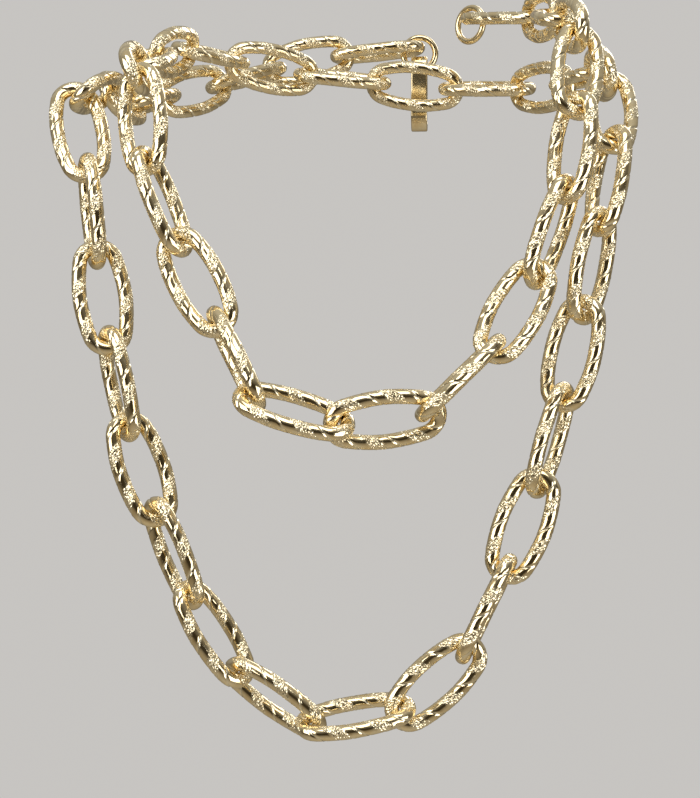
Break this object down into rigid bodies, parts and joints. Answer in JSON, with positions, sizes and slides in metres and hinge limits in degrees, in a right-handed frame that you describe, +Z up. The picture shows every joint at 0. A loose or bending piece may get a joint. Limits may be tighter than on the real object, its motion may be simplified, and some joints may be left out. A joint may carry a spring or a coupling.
{
  "type": "chain necklace",
  "caption": "Long chain necklace of textured gold oval links, worn as two turns round the neck, with a sprung hook clasp and an end ring.",
  "frame": {"origin": "middle of the neck, level with the tops of the shoulders", "axes": "+Z up, -Y towards the chest that the strands lie on, +X towards the right of a viewer in front"},
  "size_m": [0.1805, 0.1752, 0.2416],
  "materials": {
    "chain": "pale gold, polished with diamond-cut texture",
    "findings": "polished pale gold"
  },
  "bodies": {
    "link_01": {"link_01": "chain"},
    "link_02": {"link_02": "chain"},
    "link_03": {"link_03": "chain"},
    "link_04": {"link_04": "chain"},
    "link_05": {"link_05": "chain"},
    "link_06": {"link_06": "chain"},
    "link_07": {"link_07": "chain"},
    "link_08": {"link_08": "chain"},
    "link_09": {"link_09": "chain"},
    "link_10": {"link_10": "chain"},
    "link_11": {"link_11": "chain"},
    "link_12": {"link_12": "chain"},
    "link_13": {"link_13": "chain"},
    "link_14": {"link_14": "chain"},
    "link_15": {"link_15": "chain"},
    "link_16": {"link_16": "chain"},
    "link_17": {"link_17": "chain"},
    "link_18": {"link_18": "chain"},
    "link_19": {"link_19": "chain"},
    "link_20": {"link_20": "chain"},
    "link_21": {"link_21": "chain"},
    "link_22": {"link_22": "chain"},
    "link_23": {"link_23": "chain"},
    "link_24": {"link_24": "chain"},
    "link_25": {"link_25": "chain"},
    "link_26": {"link_26": "chain"},
    "link_27": {"link_27": "chain"},
    "link_28": {"link_28": "chain"},
    "link_29": {"link_29": "chain"},
    "link_30": {"link_30": "chain"},
    "link_31": {"link_31": "chain"},
    "link_32": {"link_32": "chain"},
    "link_33": {"link_33": "chain"},
    "link_34": {"link_34": "chain"},
    "link_35": {"link_35": "chain"},
    "link_36": {"link_36": "chain"},
    "link_37": {"link_37": "chain"},
    "link_38": {"link_38": "chain"},
    "link_39": {"link_39": "chain"},
    "link_40": {"link_40": "chain"},
    "link_41": {"link_41": "chain"},
    "link_42": {"link_42": "chain"},
    "link_43": {"link_43": "chain"},
    "link_44": {"link_44": "chain"},
    "link_45": {"link_45": "chain"},
    "link_46": {"link_46": "chain"},
    "link_47": {"link_47": "chain"},
    "link_48": {"link_48": "chain"},
    "link_49": {"link_49": "chain"},
    "link_50": {"link_50": "chain"},
    "clasp_ring": {"clasp_ring": "findings"},
    "end_ring": {"end_ring": "findings"},
    "clasp": {"clasp_body": "findings", "clasp_pin": "findings"},
    "clasp_lever": {"clasp_lever": "findings"}
  },
  "joints": [
    {"name": "clasp_swing", "type": "hinge", "parent": "clasp_ring", "child": "clasp", "pos_m": [0.02596, 0.08483, 0.03916], "axis": [0.0682, 0.9977, 0], "range_deg": [-12, 12]},
    {"name": "clasp_ring_swing", "type": "hinge", "parent": "link_01", "child": "clasp_ring", "pos_m": [0.0206, 0.0852, 0.0409], "axis": [-0.0944, 0.0065, 0.9955], "range_deg": [-12, 12]},
    {"name": "link_01_swing", "type": "hinge", "parent": "link_02", "child": "link_01", "pos_m": [-0.0057, 0.08534, 0.03841], "axis": [0.2125, -0.9768, 0.0265], "range_deg": [0, 12]},
    {"name": "link_02_swing", "type": "hinge", "parent": "link_03", "child": "link_02", "pos_m": [-0.02523, 0.08095, 0.03313], "axis": [-0.2125, 0.9768, -0.0265], "range_deg": [-12, 0]},
    {"name": "link_03_swing", "type": "hinge", "parent": "link_04", "child": "link_03", "pos_m": [-0.04923, 0.06244, 0.02323], "axis": [0.672, -0.7098, 0.2111], "range_deg": [0, 12]},
    {"name": "link_04_swing", "type": "hinge", "parent": "link_05", "child": "link_04", "pos_m": [-0.06239, 0.04797, 0.01647], "axis": [-0.672, 0.7098, -0.2111], "range_deg": [-12, 0]},
    {"name": "link_05_swing", "type": "hinge", "parent": "link_06", "child": "link_05", "pos_m": [-0.073, 0.01877, 0.00919], "axis": [0.9129, -0.1875, 0.3627], "range_deg": [0, 12]},
    {"name": "link_06_swing", "type": "hinge", "parent": "link_07", "child": "link_06", "pos_m": [-0.07708, -0.00152, 0.00897], "axis": [-0.9129, 0.1875, -0.3627], "range_deg": [-12, 0]},
    {"name": "link_07_swing", "type": "hinge", "parent": "link_08", "child": "link_07", "pos_m": [-0.08469, -0.02947, 0.00087], "axis": [0.0668, -0.9154, 0.397], "range_deg": [0, 12]},
    {"name": "link_08_swing", "type": "hinge", "parent": "link_09", "child": "link_08", "pos_m": [-0.08021, -0.03724, -0.01779], "axis": [-0.0668, 0.9154, -0.397], "range_deg": [-12, 0]},
    {"name": "link_09_swing", "type": "hinge", "parent": "link_10", "child": "link_09", "pos_m": [-0.07575, -0.0419, -0.04939], "axis": [0.1123, -0.9821, 0.1512], "range_deg": [0, 12]},
    {"name": "link_10_swing", "type": "hinge", "parent": "link_11", "child": "link_10", "pos_m": [-0.07255, -0.04466, -0.06966], "axis": [-0.1123, 0.9821, -0.1512], "range_deg": [-12, 0]},
    {"name": "link_11_swing", "type": "hinge", "parent": "link_12", "child": "link_11", "pos_m": [-0.06513, -0.04786, -0.10113], "axis": [0.3761, -0.9054, 0.1972], "range_deg": [0, 12]},
    {"name": "link_12_swing", "type": "hinge", "parent": "link_13", "child": "link_12", "pos_m": [-0.05828, -0.04926, -0.12062], "axis": [-0.3761, 0.9054, -0.1972], "range_deg": [-12, 0]},
    {"name": "link_13_swing", "type": "hinge", "parent": "link_14", "child": "link_13", "pos_m": [-0.04561, -0.05171, -0.15041], "axis": [0.6363, -0.6423, 0.4273], "range_deg": [0, 3]},
    {"name": "link_14_swing", "type": "hinge", "parent": "link_15", "child": "link_14", "pos_m": [-0.03448, -0.05228, -0.16785], "axis": [-0.6363, 0.6423, -0.4273], "range_deg": [-3, 0]},
    {"name": "link_15_swing", "type": "hinge", "parent": "link_16", "child": "link_15", "pos_m": [-0.0086, -0.05788, -0.18431], "axis": [0.1058, 0.4277, -0.8977], "range_deg": [0, 0.5]},
    {"name": "link_16_swing", "type": "hinge", "parent": "link_17", "child": "link_16", "pos_m": [0.01176, -0.05603, -0.18103], "axis": [-0.1058, -0.4277, 0.8977], "range_deg": [-0.5, 0]},
    {"name": "link_17_swing", "type": "hinge", "parent": "link_18", "child": "link_17", "pos_m": [0.03541, -0.05429, -0.16081], "axis": [0.8827, -0.1927, -0.4286], "range_deg": [0, 1]},
    {"name": "link_18_swing", "type": "hinge", "parent": "link_19", "child": "link_18", "pos_m": [0.04465, -0.05303, -0.14233], "axis": [-0.8827, 0.1927, 0.4286], "range_deg": [-1, 0]},
    {"name": "link_19_swing", "type": "hinge", "parent": "link_20", "child": "link_19", "pos_m": [0.05623, -0.05175, -0.11204], "axis": [-0.849, 0.48, 0.2209], "range_deg": [0, 0.5]},
    {"name": "link_20_swing", "type": "hinge", "parent": "link_21", "child": "link_20", "pos_m": [0.06205, -0.05058, -0.09221], "axis": [0.849, -0.48, -0.2209], "range_deg": [-0.5, 0]},
    {"name": "link_21_swing", "type": "hinge", "parent": "link_22", "child": "link_21", "pos_m": [0.06966, -0.04934, -0.06064], "axis": [-0.7013, 0.7015, 0.1266], "range_deg": [0, 0.5]},
    {"name": "link_22_swing", "type": "hinge", "parent": "link_23", "child": "link_22", "pos_m": [0.0752, -0.04849, -0.03467], "axis": [-0.8467, -0.4555, 0.2751], "range_deg": [-0.5, 0]},
    {"name": "link_23_swing", "type": "hinge", "parent": "link_24", "child": "link_23", "pos_m": [0.07858, -0.03997, -0.01016], "axis": [-0.2757, 0.7706, -0.5747], "range_deg": [0, 0.5]},
    {"name": "link_24_swing", "type": "hinge", "parent": "link_25", "child": "link_24", "pos_m": [0.07984, -0.02387, 0.01082], "axis": [-0.9895, -0.0173, -0.1436], "range_deg": [-3, 0]},
    {"name": "link_25_swing", "type": "hinge", "parent": "link_26", "child": "link_25", "pos_m": [0.0788, -0.00374, 0.01553], "axis": [-0.9895, -0.0173, -0.1436], "range_deg": [0, 2]},
    {"name": "link_26_swing", "type": "hinge", "parent": "link_27", "child": "link_26", "pos_m": [0.07461, 0.02242, 0.01691], "axis": [-0.142, -0.0749, 0.987], "range_deg": [-1.5, 0]},
    {"name": "link_27_swing", "type": "hinge", "parent": "link_28", "child": "link_27", "pos_m": [0.06131, 0.04538, 0.01858], "axis": [-0.8591, -0.4859, -0.1605], "range_deg": [0, 1.5]},
    {"name": "link_28_swing", "type": "hinge", "parent": "link_29", "child": "link_28", "pos_m": [0.0392, 0.05814, 0.02131], "axis": [-0.0321, -0.2619, 0.9646], "range_deg": [-1, 0]},
    {"name": "link_29_swing", "type": "hinge", "parent": "link_30", "child": "link_29", "pos_m": [0.01323, 0.06314, 0.02393], "axis": [-0.2079, -0.9422, -0.2627], "range_deg": [0, 1.5]},
    {"name": "link_31_swing", "type": "hinge", "parent": "link_30", "child": "link_31", "pos_m": [-0.01849, 0.05947, 0.0265], "axis": [-0.3436, 0.8866, 0.3097], "range_deg": [0, 2]},
    {"name": "link_32_swing", "type": "hinge", "parent": "link_31", "child": "link_32", "pos_m": [-0.04262, 0.04887, 0.03007], "axis": [0.2662, -0.2243, 0.9374], "range_deg": [-4.5, 0]},
    {"name": "link_33_swing", "type": "hinge", "parent": "link_32", "child": "link_33", "pos_m": [-0.05412, 0.03168, 0.02922], "axis": [-0.2662, 0.2243, -0.9374], "range_deg": [0, 6]},
    {"name": "link_34_swing", "type": "hinge", "parent": "link_33", "child": "link_34", "pos_m": [-0.06208, 0.00695, 0.02359], "axis": [0.9218, -0.2249, -0.3156], "range_deg": [-3, 0]},
    {"name": "link_35_swing", "type": "hinge", "parent": "link_34", "child": "link_35", "pos_m": [-0.06414, -0.02364, 0.01364], "axis": [-0.907, 0.1303, -0.4004], "range_deg": [0, 4.5]},
    {"name": "link_36_swing", "type": "hinge", "parent": "link_35", "child": "link_36", "pos_m": [-0.06267, -0.04572, 0.00311], "axis": [0.5505, 0.8256, -0.1242], "range_deg": [-12, 0]},
    {"name": "link_37_swing", "type": "hinge", "parent": "link_36", "child": "link_37", "pos_m": [-0.06053, -0.05017, -0.01699], "axis": [-0.5505, -0.8256, 0.1242], "range_deg": [0, 12]},
    {"name": "link_38_swing", "type": "hinge", "parent": "link_37", "child": "link_38", "pos_m": [-0.05141, -0.0546, -0.04147], "axis": [-0.8279, 0.41, -0.3827], "range_deg": [-12, 0]},
    {"name": "link_39_swing", "type": "hinge", "parent": "link_38", "child": "link_39", "pos_m": [-0.03972, -0.05953, -0.0648], "axis": [-0.1988, -0.9742, 0.1064], "range_deg": [0, 12]},
    {"name": "link_40_swing", "type": "hinge", "parent": "link_39", "child": "link_40", "pos_m": [-0.02827, -0.06873, -0.08684], "axis": [-0.9009, -0.2088, -0.3805], "range_deg": [-12, 0]},
    {"name": "link_41_swing", "type": "hinge", "parent": "link_40", "child": "link_41", "pos_m": [-0.00595, -0.07341, -0.09636], "axis": [0.1983, -0.6123, 0.7653], "range_deg": [0, 12]},
    {"name": "link_42_swing", "type": "hinge", "parent": "link_41", "child": "link_42", "pos_m": [0.02017, -0.06921, -0.09478], "axis": [-0.1693, 0.9259, 0.3378], "range_deg": [-12, 0]},
    {"name": "link_43_swing", "type": "hinge", "parent": "link_42", "child": "link_43", "pos_m": [0.0388, -0.0643, -0.07694], "axis": [0.6887, 0.0209, -0.7248], "range_deg": [0, 12]},
    {"name": "link_44_swing", "type": "hinge", "parent": "link_43", "child": "link_44", "pos_m": [0.05547, -0.05561, -0.05071], "axis": [-0.8101, 0.5367, 0.2361], "range_deg": [-12, 0]},
    {"name": "link_45_swing", "type": "hinge", "parent": "link_44", "child": "link_45", "pos_m": [0.06246, -0.05358, -0.03133], "axis": [0.8101, -0.5367, -0.2361], "range_deg": [0, 12]},
    {"name": "link_46_swing", "type": "hinge", "parent": "link_45", "child": "link_46", "pos_m": [0.06709, -0.0491, -0.00566], "axis": [-0.7322, -0.6363, 0.2431], "range_deg": [-12, 0]},
    {"name": "link_47_swing", "type": "hinge", "parent": "link_46", "child": "link_47", "pos_m": [0.06992, -0.0368, 0.01763], "axis": [0.42, -0.8225, 0.3835], "range_deg": [0, 12]},
    {"name": "link_48_swing", "type": "hinge", "parent": "link_47", "child": "link_48", "pos_m": [0.06744, -0.01502, 0.02984], "axis": [-0.9946, -0.1018, -0.0207], "range_deg": [-12, 0]},
    {"name": "link_49_swing", "type": "hinge", "parent": "link_48", "child": "link_49", "pos_m": [0.06711, 0.01613, 0.03835], "axis": [0.9795, 0.196, 0.0465], "range_deg": [0, 12]},
    {"name": "link_50_swing", "type": "hinge", "parent": "link_49", "child": "link_50", "pos_m": [0.06295, 0.0361, 0.04186], "axis": [-0.9795, -0.196, -0.0465], "range_deg": [-12, 0]},
    {"name": "end_ring_swing", "type": "hinge", "parent": "link_50", "child": "end_ring", "pos_m": [0.04714, 0.05611, 0.04606], "axis": [0.0047, 0.2088, -0.9779], "range_deg": [-20, 20]},
    {"name": "clasp_lever_pivot", "type": "hinge", "parent": "clasp", "child": "clasp_lever", "pos_m": [0.02611, 0.08703, 0.02447], "axis": [-0.9977, 0.0682, 0], "range_deg": [0, 18], "stiffness_Nm_per_rad": 0.004, "springref_deg": -11.46}
  ]
}
